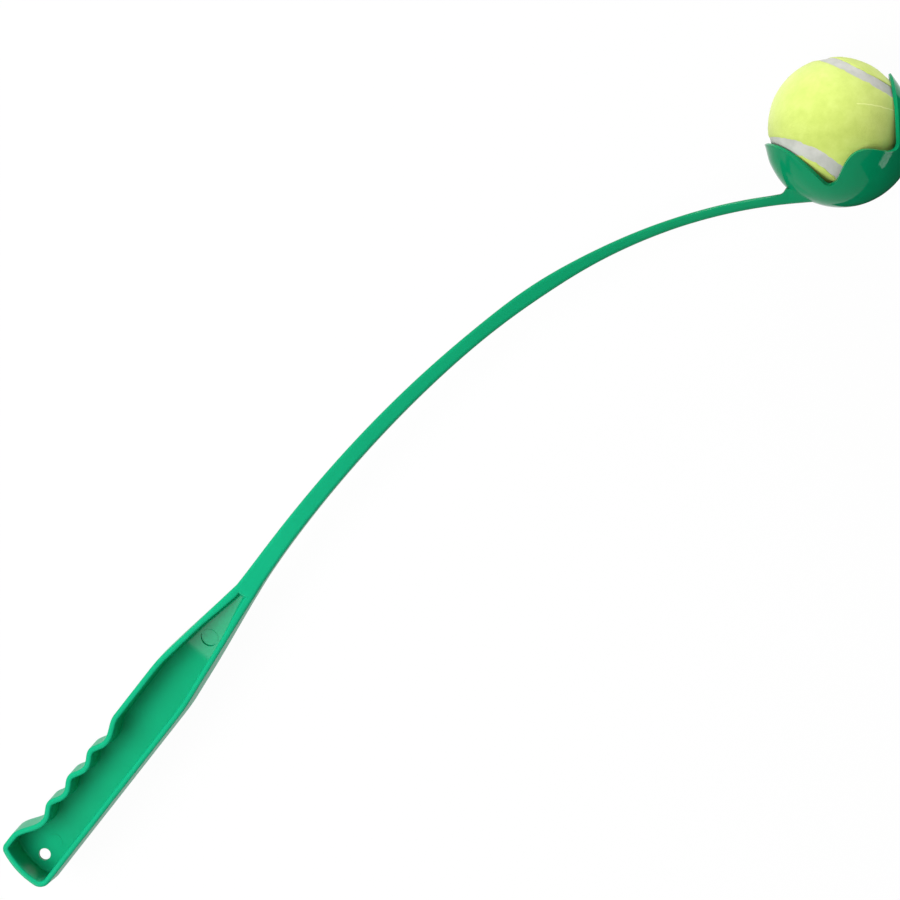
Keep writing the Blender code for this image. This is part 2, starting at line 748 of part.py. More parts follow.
def make_felt_panels(parts, cutters, material, seat):
    inner = BALL_RADIUS - FELT_THICKNESS

    def sphere(name, radius, steps):
        def build(form):
            bmesh.ops.create_uvsphere(form, u_segments=steps, v_segments=steps // 2, radius=radius)
        return mark_as_cutter(add_object(name, mesh_from(name, build), cutters))

    def groove_band(form):
        width = SEAM_WIDTH + 2 * PIECE_GAP
        seam_band(form, width, inner - CUT_OVERRUN, BALL_RADIUS + CUT_OVERRUN)

    cover = sphere("felt_cover", BALL_RADIUS, BALL_STEPS)
    hollow = sphere("felt_hollow", inner, CORE_STEPS)
    groove = mark_as_cutter(add_object("felt_groove", mesh_from("felt_groove", groove_band), cutters))
    add_boolean(cover, "DIFFERENCE", hollow)
    add_boolean(cover, "DIFFERENCE", groove)
    bpy.context.view_layer.update()
    finished = cover.evaluated_get(bpy.context.evaluated_depsgraph_get())
    whole = bpy.data.meshes.new_from_object(finished)

    for name, side in (("ball_felt_panel_a", 1), ("ball_felt_panel_b", -1)):
        item = add_object(name, one_panel(name, whole, side), parts)
        item.data.materials.append(material)
        item.parent = seat
        item.rotation_euler = SEAM_TURN
    bpy.data.meshes.remove(whole)


def one_panel(name, whole, side):
    # The panel whose waist faces up, or the one whose waist faces down, is kept
    form = bmesh.new()
    form.from_mesh(whole)
    form.verts.ensure_lookup_table()
    start = max(form.verts, key=lambda vert: side * vert.co.z)
    kept = {start}
    edge_of_search = [start]
    while edge_of_search:
        vert = edge_of_search.pop()
        for edge in vert.link_edges:
            other = edge.other_vert(vert)
            if other not in kept:
                kept.add(other)
                edge_of_search.append(other)
    bmesh.ops.delete(form, geom=[vert for vert in form.verts if vert not in kept], context="VERTS")
    mesh = bpy.data.meshes.new(name)
    form.to_mesh(mesh)
    form.free()
    return mesh


def make_seam(parts, material, seat):
    inner = BALL_RADIUS - FELT_THICKNESS
    mesh = mesh_from("ball_seam", lambda form: seam_band(form, SEAM_WIDTH, inner, BALL_RADIUS - SEAM_SINK))
    item = add_object("ball_seam", mesh, parts)
    item.data.materials.append(material)
    item.parent = seat
    item.rotation_euler = SEAM_TURN
    return item


def shade(item):
    item.data.shade_smooth()
    item.data.set_sharp_from_angle(angle=math.radians(35))


def main():
    clear_scene()
    parts = new_collection("ball_launcher")
    cutters = new_collection("cutters")
    plastic = new_material("green_plastic", (0.010, 0.440, 0.210), 0.28)
    felt = new_material("yellow_felt", (0.620, 0.800, 0.150), 0.95)
    seam = new_material("grey_seam", (0.560, 0.560, 0.520), 0.80)
    rubber = new_material("core_rubber", (0.050, 0.050, 0.055), 0.70)

    make_launcher(parts, cutters, plastic)

    seat = add_object("ball_seat", None, parts)
    seat.location = BALL_CENTRE
    make_core_half("ball_core_half_a", 1, parts, rubber, seat)
    make_core_half("ball_core_half_b", -1, parts, rubber, seat)
    make_felt_panels(parts, cutters, felt, seat)
    make_seam(parts, seam, seat)
    for item in parts.objects:
        if item.type == "MESH":
            shade(item)


main()
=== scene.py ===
import bisect
import math
import random

import bmesh
import bpy
from mathutils import Euler, Matrix, Vector, noise
from mathutils.kdtree import KDTree


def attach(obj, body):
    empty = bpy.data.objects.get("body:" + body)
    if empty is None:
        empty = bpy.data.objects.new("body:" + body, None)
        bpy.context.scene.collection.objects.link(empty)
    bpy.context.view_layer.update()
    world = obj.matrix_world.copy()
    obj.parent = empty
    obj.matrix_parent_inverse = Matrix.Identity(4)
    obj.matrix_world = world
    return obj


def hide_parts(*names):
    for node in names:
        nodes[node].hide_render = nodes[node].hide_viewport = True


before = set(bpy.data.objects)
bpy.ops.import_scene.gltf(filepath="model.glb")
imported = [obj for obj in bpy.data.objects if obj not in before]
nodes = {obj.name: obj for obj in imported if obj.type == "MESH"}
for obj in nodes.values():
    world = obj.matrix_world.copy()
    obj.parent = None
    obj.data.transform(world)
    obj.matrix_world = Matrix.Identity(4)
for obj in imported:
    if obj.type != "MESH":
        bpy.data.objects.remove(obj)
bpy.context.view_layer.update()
print("frame loaded:", ", ".join(sorted(nodes)))


# Camera, looking down on the launcher as it lies on its side
cameraSetup = {
    "lens": 132.0,
    "sensor": 36.0,
    "place": (0.42608, -0.06124, 1.59804),
    "right": (0.613987, -0.784579, -0.086337),
    "up": (0.780238, 0.619826, -0.083930),
    "near": 0.05, "far": 20,
}


def makeCamera(setup):
    data = bpy.data.cameras.new("camera")
    data.lens = setup["lens"]
    data.sensor_width = setup["sensor"]
    data.clip_start = setup["near"]
    data.clip_end = setup["far"]
    camera = bpy.data.objects.new("camera", data)
    bpy.context.scene.collection.objects.link(camera)
    right = Vector(setup["right"]).normalized()
    up = (Vector(setup["up"]) - right * right.dot(Vector(setup["up"]))).normalized()
    turn = Matrix((right, up, right.cross(up))).transposed().to_4x4()
    camera.matrix_world = Matrix.Translation(setup["place"]) @ turn
    bpy.context.scene.camera = camera


makeCamera(cameraSetup)
print("camera placed")


# Helpers that several pieces share

def ease(share):
    share = min(max(share, 0), 1)
    return share * share * (3 - 2 * share)


def swing(share):
    return (1 - math.cos(math.pi * share)) / 2


def evenSteps(start, end, steps):
    return [start + (end - start) * step / steps for step in range(steps)]


def faceOutwards(form):
    bmesh.ops.recalc_face_normals(form, faces=form.faces[:])


def moveForm(form, way):
    bmesh.ops.translate(form, verts=form.verts[:], vec=way)


def makePiece(name, form):
    faceOutwards(form)
    mesh = bpy.data.meshes.new(name)
    form.to_mesh(mesh)
    form.free()
    piece = bpy.data.objects.new(name, mesh)
    bpy.context.scene.collection.objects.link(piece)
    return piece


def changePiece(piece, change):
    form = bmesh.new()
    form.from_mesh(piece.data)
    change(form)
    form.to_mesh(piece.data)
    form.free()


def newVerts(result):
    return [item for item in result["geom"] if isinstance(item, bmesh.types.BMVert)]


def readLayer(item, layer):
    return [vert[layer] for vert in item.verts]


def addBoolean(piece, operation, operand):
    cut = piece.modifiers.new(operand.name, "BOOLEAN")
    cut.operation = operation
    cut.object = operand
    cut.solver = "EXACT"


def applyModifiers(piece):
    # The finished mesh takes the place of the modifiers
    bpy.context.view_layer.update()
    finished = piece.evaluated_get(bpy.context.evaluated_depsgraph_get())
    mesh = bpy.data.meshes.new_from_object(finished)
    piece.modifiers.clear()
    piece.data = mesh


# Handle and arm, in metres, measured along the handle from its butt end
bodySetup = {
    "origin": 0.0600, "length": 0.1800, "width": 0.0256, "depth": 0.0250,
    "wall": 0.0028, "floor": 0.0025, "flare": 0.00075,
    "buttRise": 0.0162, "buttRadius": 0.0430, "apexDrop": 0.0035,
    "topCorner": 0.0040, "lowCorner": 0.0056, "buttShelf": 0.0129,
    "gripStart": 0.0289, "gripPitch": 0.01675, "gripCount": 3,
    "gripValley": 0.0037, "gripRidge": 0.0031, "palmRise": 0.0130,
    "topTaper": 0.0532, "lowTaper": 0.0641, "bendSoftness": 0.0018,
    "backRun": (0.0450, 0.0050), "frontRun": (0.0200, 0.0180),
    "pocketEndWall": 0.0025, "tipWall": 0.0041, "tipDepth": 0.0040, "tipRun": 0.0280,
    "rampRun": 0.0425, "rampBend": 0.16,
    "padDiameter": 0.0086, "padSetback": 0.0293, "padGroove": 0.0010, "padDepth": 0.0009,
    "markDiameter": 0.0080, "markReach": 0.0173, "markProud": 0.00018,
    "holeDiameter": 0.0060, "holeReach": 0.0094, "holeDrop": 0.0017,
    "step": 0.0008, "apexSplit": 30, "apexRungs": 9, "apexGrow": 1.4, "sideCuts": 3,
    "cornerPasses": 12, "cornerFactor": 0.5, "leastNormal": 0.01,
    "roundSegments": 64, "joinReach": 0.0000002,
}
armSetup = {
    "neckDrop": 0.0004, "neckHeading": 3.9, "neckPull": 0.0596,
    "bow": (0.1823, 0.0154), "bowHeading": -14.4, "bowPulls": (0.0592, 0.0517),
    "root": (0.3136, 0.0913), "rootHeading": -47.3, "rootPull": 0.0514, "rootExtra": 0.0120,
    "neckWidth": 0.0107, "widthLow": 0.0092, "widthTop": 0.0049, "swell": 0.0011,
    "neckDepth": 0.0140, "depthTop": 0.0100,
    "neckShare": 0.035, "taperShare": 0.80, "swellShare": 0.585, "swellSpread": 0.075,
    "flareRun": 0.0140, "flareTop": 0.0093, "flareLow": 0.0010, "flareEnds": (0.0081, 0.0050),
    "filletRun": 0.0080, "filletSet": 0.0052, "filletRise": 0.0004, "fillet": 0.0030,
    "filletEnd": 0.98,   # the notch's arc stops just short of upright
    "steps": 120, "rootStep": 0.0006,
}
# Radii of the moulding's rounded edges; the handle's change into the arm's along the neck
edgeSetup = {
    "back": 0.0030, "front": 0.0013, "arm": 0.0017,
    "pocketRim": 0.0011, "pocketFloor": 0.0012, "segments": 5,
    "sameLevel": 0.1, "flatAngle": 5.73, "sharpAngle": 40, "shadeAngle": 38,   # in degrees
}

halfWidth = bodySetup["width"] / 2
middleHeight = bodySetup["depth"] / 2
pocketEnd = bodySetup["length"] - bodySetup["pocketEndWall"]


def buttEdge(reach, edge, corner):
    # The butt is one wide arc that runs into each long edge by a small one
    setup = bodySetup
    side = math.copysign(1, edge)
    bow = setup["buttRadius"]
    centreY = edge - side * corner
    centreX = bow - math.sqrt((bow - corner) ** 2 - (centreY + setup["apexDrop"]) ** 2)
    meeting = bow + (centreX - bow) * bow / (bow - corner)
    if reach < meeting:
        return side * math.sqrt(bow ** 2 - (bow - reach) ** 2) - setup["apexDrop"]
    if reach < centreX:
        return centreY + side * math.sqrt(corner ** 2 - (centreX - reach) ** 2)
    return edge


def gripWave(reach):
    # The upper edge: the butt, the finger ridges between their valleys, and the palm's rise
    setup = bodySetup
    valley = halfWidth - setup["gripValley"]
    lastValley = setup["gripStart"] + setup["gripCount"] * setup["gripPitch"]
    if reach <= setup["buttShelf"]:
        return buttEdge(reach, setup["buttRise"], setup["topCorner"])
    if reach <= setup["gripStart"]:
        share = (reach - setup["buttShelf"]) / (setup["gripStart"] - setup["buttShelf"])
        return setup["buttRise"] + (valley - setup["buttRise"]) * swing(share)
    if reach <= lastValley:
        share = (reach - setup["gripStart"]) / setup["gripPitch"]
        return valley + setup["gripRidge"] * swing(2 * share)
    if reach <= lastValley + setup["palmRise"]:
        share = (reach - lastValley) / setup["palmRise"]
        return valley + (halfWidth - valley) * swing(share)
    return halfWidth


def taper(reach, run, neckEdge):
    # Nothing before the bend and a straight slope after it, with a soft change between
    softness = bodySetup["bendSoftness"]
    distance = reach - bodySetup["length"] + run
    return softness * math.log(1 + math.exp(distance / softness)) * (halfWidth - neckEdge) / run


def handleStation(reach):
    half = armSetup["neckWidth"] / 2 * math.cos(math.radians(armSetup["neckHeading"]))
    upper = gripWave(reach) - taper(reach, bodySetup["topTaper"], half - armSetup["neckDrop"])
    lower = buttEdge(reach, -halfWidth, bodySetup["lowCorner"])
    lower += taper(reach, bodySetup["lowTaper"], half + armSetup["neckDrop"])
    return Vector((reach, lower)), Vector((reach, upper)), reach


def heading(degrees):
    return Vector((math.cos(math.radians(degrees)), math.sin(math.radians(degrees))))


def curvePoint(knots, share):
    # A cubic curve through its first and last knots
    rest = 1 - share
    weights = (rest ** 3, 3 * rest ** 2 * share, 3 * rest * share ** 2, share ** 3)
    return sum((knot * weight for knot, weight in zip(knots, weights)), Vector((0, 0)))


def armSpine():
    # The arm's middle line, from the neck over the bow to just inside the cup
    setup = armSetup
    neck = Vector((bodySetup["length"], -setup["neckDrop"]))
    bow = neck + Vector((setup["bow"][0], -setup["bow"][1]))
    root = neck + Vector((setup["root"][0], -setup["root"][1]))
    bowWay = heading(setup["bowHeading"])
    rootWay = heading(setup["rootHeading"])
    lower = (neck, neck + heading(setup["neckHeading"]) * setup["neckPull"],
             bow - bowWay * setup["bowPulls"][0], bow)
    upper = (bow, bow + bowWay * setup["bowPulls"][1], root - rootWay * setup["rootPull"], root)
    points = [curvePoint(lower, share) for share in evenSteps(0, 1, setup["steps"])]
    points += [curvePoint(upper, share) for share in evenSteps(0, 1, setup["steps"])]
    points += [root, root + rootWay * setup["rootExtra"]]
    lengths = [0]
    for before, after in zip(points, points[1:]):
        lengths.append(lengths[-1] + (after - before).length)
    return points, lengths


spinePoints, spineLengths = armSpine()
armLength = spineLengths[-1]
rootDistance = armLength - armSetup["rootExtra"]   # where the arm's upper edge meets the cup


def armWidth(share):
    setup = armSetup
    neck = (setup["neckWidth"] - setup["widthLow"]) * math.exp(-share / setup["neckShare"])
    narrowing = (setup["widthTop"] - setup["widthLow"]) * min(share / setup["taperShare"], 1)
    run = setup["widthLow"] + narrowing
    swell = setup["swell"] * math.exp(-((share - setup["swellShare"]) / setup["swellSpread"]) ** 2)
    return neck + run + swell


def armStation(distance):
    index = min(max(bisect.bisect(spineLengths, distance) - 1, 0), len(spineLengths) - 2)
    along = (spinePoints[index + 1] - spinePoints[index]).normalized()
    middle = spinePoints[index] + along * (distance - spineLengths[index])
    half = Vector((-along.y, along.x)) * armWidth(distance / armLength) / 2
    # The upper edge curves up into a small rounded notch in front of the cup
    before = max(rootDistance - armSetup["filletSet"] - distance, 0)
    radius = armSetup["fillet"]
    rise = armSetup["filletRise"] * max(1 - before / armSetup["filletRun"], 0)
    rise += radius - math.sqrt(radius ** 2 - max(radius * armSetup["filletEnd"] - before, 0) ** 2)
    return middle - half, middle + half + half.normalized() * rise, bodySetup["length"] + distance


def bodyStations():
    # Rungs from butt to cup, close together at the butt's apex
    setup = bodySetup
    apexGap = setup["step"] / setup["apexSplit"]
    reaches = [apexGap * (1 + step * step) for step in range(setup["apexRungs"])]
    start = reaches[-1] * setup["apexGrow"]
    reaches += evenSteps(start, pocketEnd, round(pocketEnd / setup["step"]))
    # One rung spans the pocket's end wall, so that the pocket's inset ends square
    afterPocket = pocketEnd + setup["wall"] - setup["length"]
    flareStart = rootDistance - armSetup["flareRun"]
    distances = evenSteps(afterPocket, flareStart, armSetup["steps"])
    rootSteps = round((armLength - flareStart) / armSetup["rootStep"])
    distances += evenSteps(flareStart, armLength, rootSteps) + [armLength]
    handle = [handleStation(reach) for reach in reaches]
    return handle + [armStation(distance) for distance in distances]


def runShare(reach, runs):
    # Nothing on the handle, one on the arm
    start = bodySetup["length"] - runs[0]
    return ease((reach - start) / (runs[0] + runs[1]))


def halfDepth(reach, side, level):
    # The handle's depth runs into the arm's, which spreads again where it meets the cup
    along = max(reach - bodySetup["length"], 0)
    arm = armSetup["neckDepth"] + (armSetup["depthTop"] - armSetup["neckDepth"]) * along / armLength
    flare = armSetup["flareTop"] if side > 0 else armSetup["flareLow"]
    end = armSetup["flareEnds"][1 if side > 0 else 0]
    spread = 1 - (rootDistance + end - along) / (armSetup["flareRun"] + end)
    spread = min(max(spread, 0), 1) ** 2
    runs = bodySetup["frontRun"] if level > 0 else bodySetup["backRun"]
    return middleHeight + (arm / 2 + flare * spread - middleHeight) * runShare(reach, runs)


def pocketFloorHeight(reach):
    # A flat floor, then a soft bend and a straight ramp up to the pocket's pointed end
    start = pocketEnd - bodySetup["rampRun"]
    front = middleHeight + halfDepth(pocketEnd, 1, 1)
    rise = front - bodySetup["tipDepth"] - bodySetup["floor"]
    along = max(0, reach - start) / bodySetup["rampRun"]
    bend = bodySetup["rampBend"]
    bent = min(along / bend, 1)
    share = bend * (bent ** 3 - bent ** 4 / 2) + max(along - bend, 0)
    return bodySetup["floor"] + rise * share / (1 - bend / 2)


def layBodyOutline(form, layers):
    # A ladder of quads, grown rung by rung from the butt to the cup
    stations = bodyStations()
    rung = None
    for lower, upper, reach in stations:
        if rung is None:
            ends = [form.verts.new((0, 0, 0)), form.verts.new((0, 0, 0))]
            ends[0][layers["side"]] = -1
            ends[1][layers["side"]] = 1
            rung = form.edges.new(ends)
        else:
            ends = newVerts(bmesh.ops.extrude_edge_only(form, edges=[rung]))
            ends.sort(key=lambda vert: vert[layers["side"]])
            rung = form.edges.get(ends)
        for vert, point in zip(ends, (lower, upper)):
            vert.co = (point.x, point.y, 0)
            vert[layers["reach"]] = reach


def hollowPocket(form, layers):
    # A point's pocket layer says where it lies: 0 outside, 1 on the rim and 2 on the floor
    wall = bodySetup["wall"]
    end = pocketEnd + wall + bodySetup["step"] / 2
    inside = [face for face in form.faces
              if min(readLayer(face, layers["level"])) == 1
              and max(readLayer(face, layers["reach"])) < end]
    bmesh.ops.inset_region(form, faces=inside, thickness=wall, use_boundary=True,
                           use_even_offset=True)
    for vert in {vert for face in inside for vert in face.verts}:
        # The walls grow thicker towards the pocket's pointed end
        tip = ease((vert.co.x - pocketEnd + bodySetup["tipRun"]) / bodySetup["tipRun"])
        vert.co.y -= vert[layers["side"]] * (bodySetup["tipWall"] - wall) * tip
        vert[layers["pocket"]] = 1
    for vert in newVerts(bmesh.ops.extrude_face_region(form, geom=inside)):
        vert[layers["pocket"]] = 2
    bmesh.ops.delete(form, geom=[face for face in inside if face.is_valid], context="FACES")


def joinFlatFaces(form, layers):
    # The rungs across the flat back and the flat floor come out, so that the rounding has room
    rungs = []
    flatEnd = bodySetup["length"] - bodySetup["backRun"][0]
    flatAngle = math.radians(edgeSetup["flatAngle"])
    for edge in form.edges:
        sides = readLayer(edge, layers["side"])
        across = abs(sides[0] - sides[1]) > 1 and edge.is_manifold
        onBack = max(readLayer(edge, layers["level"])) == -1
        low = onBack or min(readLayer(edge, layers["pocket"])) == 2
        if across and low and max(readLayer(edge, layers["reach"])) < flatEnd:
            if edge.calc_face_angle(0) < flatAngle:
                rungs.append(edge)
    bmesh.ops.dissolve_edges(form, edges=rungs)


def shapeBody(form, layers):
    # Each point's height, and the small lean of the walls that lets the part leave its mould
    form.normal_update()
    moves = {}
    for vert in form.verts:
        reach = vert[layers["reach"]]
        side = vert[layers["side"]]
        level = vert[layers["level"]]
        place = vert.co.copy()
        # A point that faces straight up or down doesn't lean
        flat = Vector((vert.normal.x, vert.normal.y, 0))
        if flat.length > bodySetup["leastNormal"]:
            flat.normalize()
        else:
            flat.zero()
        lean = bodySetup["flare"] * (1 - runShare(reach, bodySetup["backRun"]))
        if vert[layers["pocket"]] == 2:
            floorHeight = pocketFloorHeight(place.x)
            place.z = floorHeight
            lean *= ease((reach - bodySetup["buttShelf"] / 2) / bodySetup["buttShelf"])
            place += flat * lean * (bodySetup["depth"] - floorHeight) / bodySetup["depth"]
        else:
            place.z = middleHeight + level * halfDepth(reach, side, level)
            if vert[layers["pocket"]] == 0:
                place += flat * lean * (1 - level) / 2
        moves[vert] = place
    for vert, place in moves.items():
        vert.co = place


def edgeRadius(edge, layers):
    # Which of the moulding's rounded edges this is, and its radius
    reach, level, pocket = (sum(readLayer(edge, layers[name])) / 2
                            for name in ("reach", "level", "pocket"))
    if pocket == 2:
        return edgeSetup["pocketFloor"]
    if pocket >= 1:
        return edgeSetup["pocketRim"]
    handleRadius = edgeSetup["front"] if level > 0 else edgeSetup["back"]
    return handleRadius + (edgeSetup["arm"] - handleRadius) * runShare(reach, bodySetup["backRun"])


def weighEdges(form, layers):
    # The bevel reads each rounded edge's radius from its weight
    weight = form.edges.layers.float.new("bevel_weight_edge")
    lastRung = bodySetup["length"] + armLength - armSetup["rootStep"] / 2
    sharpAngle = math.radians(edgeSetup["sharpAngle"])
    form.normal_update()
    for edge in form.edges:
        levels = readLayer(edge, layers["level"])
        pockets = readLayer(edge, layers["pocket"])
        lies = abs(levels[0] - levels[1]) < edgeSetup["sameLevel"] and pockets[0] == pockets[1]
        atCup = min(readLayer(edge, layers["reach"])) > lastRung
        if lies and not atCup and edge.calc_face_angle(0) > sharpAngle:
            edge[weight] = edgeRadius(edge, layers) / edgeSetup["back"]


def makeHandleAndArm():
    form = bmesh.new()
    names = ("reach", "side", "level", "pocket")
    layers = {name: form.verts.layers.float.new(name) for name in names}
    layBodyOutline(form, layers)
    # The flat front grows back to its depth; a point's level is 1 in front and -1 at the back
    for vert in form.verts:
        vert[layers["level"]] = 1
    for vert in newVerts(bmesh.ops.extrude_face_region(form, geom=form.faces[:])):
        vert[layers["level"]] = -1
        vert.co.z = -bodySetup["depth"]
    upright = [edge for edge in form.edges if len(set(readLayer(edge, layers["level"]))) > 1]
    bmesh.ops.subdivide_edges(form, edges=upright, cuts=bodySetup["sideCuts"], use_grid_fill=True)
    faceOutwards(form)
    hollowPocket(form, layers)
    faceOutwards(form)
    shapeBody(form, layers)
    form.normal_update()
    joinFlatFaces(form, layers)
    buttFloor = [vert for vert in form.verts
                 if vert[layers["pocket"]] == 2 and vert[layers["reach"]] < bodySetup["buttShelf"]]
    for _ in range(bodySetup["cornerPasses"]):
        bmesh.ops.smooth_vert(form, verts=buttFloor, factor=bodySetup["cornerFactor"],
                              use_axis_x=True, use_axis_y=True)
    moveForm(form, (-bodySetup["origin"], 0, 0))
    weighEdges(form, layers)
    body = makePiece("launcher_body", form)
    rounding = body.modifiers.new("rounded edges", "BEVEL")
    rounding.limit_method = "WEIGHT"
    rounding.width = edgeSetup["back"]
    rounding.segments = edgeSetup["segments"]
    rounding.use_clamp_overlap = False
    rounding.loop_slide = False
    return body


# Cup, measured from the centre of its round bottom; heights run up the mouth
cupSetup = {
    "reach": 0.3503, "drop": 0.0890, "mouthAngle": 67.3,
    "inner": 0.0329, "wall": 0.0022, "tipWall": 0.0011, "lip": 0.00048,
    "tipRise": 0.0137, "farLobe": 47.2, "farValley": 52.8, "farRound": 1.25,
    "armRise": 0.0132, "armLobe": 52.0, "armValley": 56.0, "armRound": 0.85,
    "sideFall": 0.0111, "valleyFall": 0.0192, "valleyRound": 0.0022,
    "columns": 288, "rings": 96, "lobeSteps": 60, "footSteps": 15, "sideSteps": 60,
    "slack": 0.00001, "lipAngle": 60, "lipSegments": 3, "trimColumns": 96, "trimRings": 48,
    "webHeight": 0.0012, "webReach": 0.0160, "webRun": 0.0100,
    "webHalf": (0.0150, 0.0200), "webDrop": 0.0120,
}
mouthAxis = heading(cupSetup["mouthAngle"]).to_3d()
cupReach = bodySetup["length"] - bodySetup["origin"] + cupSetup["reach"]
cupCentre = Vector((cupReach, -cupSetup["drop"], middleHeight))


def lobeTrail(angle, rise, roundShare, valleyAngle):
    # Azimuth and height along the rim, from a tall lobe's tip down to the bottom of the valley
    fall = cupSetup["valleyFall"]
    foot = cupSetup["valleyRound"]
    steps = cupSetup["lobeSteps"]
    footSteps = cupSetup["footSteps"]
    lowest = math.acos((foot / (rise + fall)) ** (1 / roundShare))
    trail = []
    for step in range(steps + 1):
        turn = lowest * step / steps
        trail.append((angle * math.sin(turn) ** roundShare,
                      (rise + fall) * math.cos(turn) ** roundShare - fall))
    for step in range(1, footSteps + 1):
        turn = math.pi / 2 * step / footSteps
        trail.append((angle + (valleyAngle - angle) * (1 - math.cos(turn)),
                      foot * (1 - math.sin(turn)) - fall))
    return trail


def rimTrail():
    # Once round the rim, from the tip of the lobe that is farthest from the arm
    setup = cupSetup
    half = lobeTrail(math.radians(setup["farLobe"]), setup["tipRise"], setup["farRound"],
                     math.radians(setup["farValley"]))
    start = half[-1][0]
    end = math.pi - math.radians(setup["armValley"])
    for step in range(1, setup["sideSteps"]):
        share = step / setup["sideSteps"]
        lift = (setup["valleyFall"] - setup["sideFall"]) * swing(2 * share)
        half.append((start + (end - start) * share, lift - setup["valleyFall"]))
    armSide = lobeTrail(math.radians(setup["armLobe"]), setup["armRise"], setup["armRound"],
                        math.radians(setup["armValley"]))
    half += [(math.pi - azimuth, height) for azimuth, height in armSide[::-1]]
    return half + [(2 * math.pi - azimuth, height) for azimuth, height in half[-2::-1]]


def evenRim(count):
    # The same rim, cut into columns of even width along its own run
    trail = rimTrail()
    outer = cupSetup["inner"] + cupSetup["wall"]
    flat = []
    for azimuth, height in trail:
        ring = math.sqrt(outer ** 2 - min(height, 0) ** 2)
        flat.append(Vector((azimuth * ring, height * outer / ring)))
    lengths = [0]
    for before, after in zip(flat, flat[1:]):
        lengths.append(lengths[-1] + (after - before).length)
    columns = []
    for index in range(count):
        distance = lengths[-1] * index / count
        place = min(bisect.bisect(lengths, distance) - 1, len(trail) - 2)
        span = lengths[place + 1] - lengths[place]
        share = (distance - lengths[place]) / span if span else 0
        columns.append(tuple(a + (b - a) * share for a, b in zip(trail[place], trail[place + 1])))
    return columns


def webLift(place):
    # The arm runs out over the cup's outer face as a low fan that fades at its sides
    setup = cupSetup
    notch = armStation(rootDistance)[1].to_3d() - Vector((bodySetup["origin"], 0, 0)) - cupCentre
    root = Vector((notch.x, notch.y, 0)).normalized()
    up = (mouthAxis - root * mouthAxis.dot(root)).normalized()
    outer = setup["inner"] + setup["wall"]
    direction = place.normalized()
    if direction.dot(root) < 0:
        return 0
    rise = math.atan2(direction.dot(up), direction.dot(root)) * outer
    aside = abs(math.asin(direction.z)) * outer
    fall = 1 - ease((rise - setup["webReach"]) / setup["webRun"]) - ease(-rise / setup["webDrop"])
    spread = min(max(rise, 0) / (setup["webReach"] + setup["webRun"]), 1)
    half = setup["webHalf"][0] + (setup["webHalf"][1] - setup["webHalf"][0]) * spread
    return setup["webHeight"] * fall * max(1 - (aside / half) ** 3, 0)


def makeCup():
    setup = cupSetup
    outer = setup["inner"] + setup["wall"]
    rim = evenRim(setup["columns"])
    form = bmesh.new()
    bmesh.ops.create_uvsphere(form, u_segments=setup["columns"], v_segments=setup["rings"],
                              radius=outer)
    upper = [vert for vert in form.verts if vert.co.z > outer * setup["slack"]]
    bmesh.ops.delete(form, geom=upper, context="VERTS")
    # Half a sphere is left; each of its meridians is stretched or cut to end on the rim
    for vert in form.verts:
        if vert.co.z < -outer * (1 - setup["slack"]):
            continue   # the pole stays
        around = math.atan2(vert.co.y, vert.co.x) / (2 * math.pi) % 1
        azimuth, top = rim[round(around * setup["columns"]) % setup["columns"]]
        share = math.acos(max(min(-vert.co.z / outer, 1), -1)) / (math.pi / 2)
        rise = math.asin(min(top, 0) / outer) + max(top, 0) / outer
        turn = (math.pi / 2 + rise) * share
        across = outer * math.sin(min(turn, math.pi / 2))
        height = -outer * math.cos(turn) if turn < math.pi / 2 else outer * (turn - math.pi / 2)
        vert.co = (across * math.cos(azimuth), across * math.sin(azimuth), height)
    faceOutwards(form)
    shown = sum(face.normal.dot(face.calc_center_median()) for face in form.faces)
    if shown < 0:
        bmesh.ops.reverse_faces(form, faces=form.faces[:])
    outside = form.faces[:]
    bmesh.ops.solidify(form, geom=outside, thickness=setup["wall"])
    for vert in form.verts:
        # The wall thins from outside towards the tips
        across = math.hypot(vert.co.x, vert.co.y)
        if vert.co.z > 0 and across > setup["inner"] + setup["wall"] / 2:
            thinned = (setup["wall"] - setup["tipWall"]) * (vert.co.z / setup["tipRise"]) ** 2
            vert.co.x *= (across - thinned) / across
            vert.co.y *= (across - thinned) / across
    form.normal_update()
    lipAngle = math.radians(setup["lipAngle"])
    lip = [edge for edge in form.edges if edge.calc_face_angle(0) > lipAngle]
    bmesh.ops.bevel(form, geom=lip, offset=setup["lip"], offset_type="OFFSET",
                    segments=setup["lipSegments"], profile=0.5, affect="EDGES",
                    clamp_overlap=True, material=-1)
    away = Vector((mouthAxis.y, -mouthAxis.x, 0))
    turn = Matrix((away, mouthAxis.cross(away), mouthAxis)).transposed().to_4x4()
    bmesh.ops.transform(form, matrix=turn, verts=form.verts[:])
    for vert in form.verts:
        if vert.co.length > setup["inner"] + setup["wall"] / 2:
            vert.co += vert.co.normalized() * webLift(vert.co)
    moveForm(form, cupCentre)
    return makePiece("cup", form)


def startDisc(half, depth):
    form = bmesh.new()
    bmesh.ops.create_cone(form, cap_ends=True, segments=bodySetup["roundSegments"],
                          radius1=half, radius2=half, depth=depth)
    return form


def makeUprightDisc(name, diameter, low, high, reach):
    # The hole or the mark, both on one line along the handle
    form = startDisc(diameter / 2, high - low)
    place = Vector((reach - bodySetup["origin"], -bodySetup["holeDrop"], (low + high) / 2))
    moveForm(form, place)
    return makePiece(name, form)


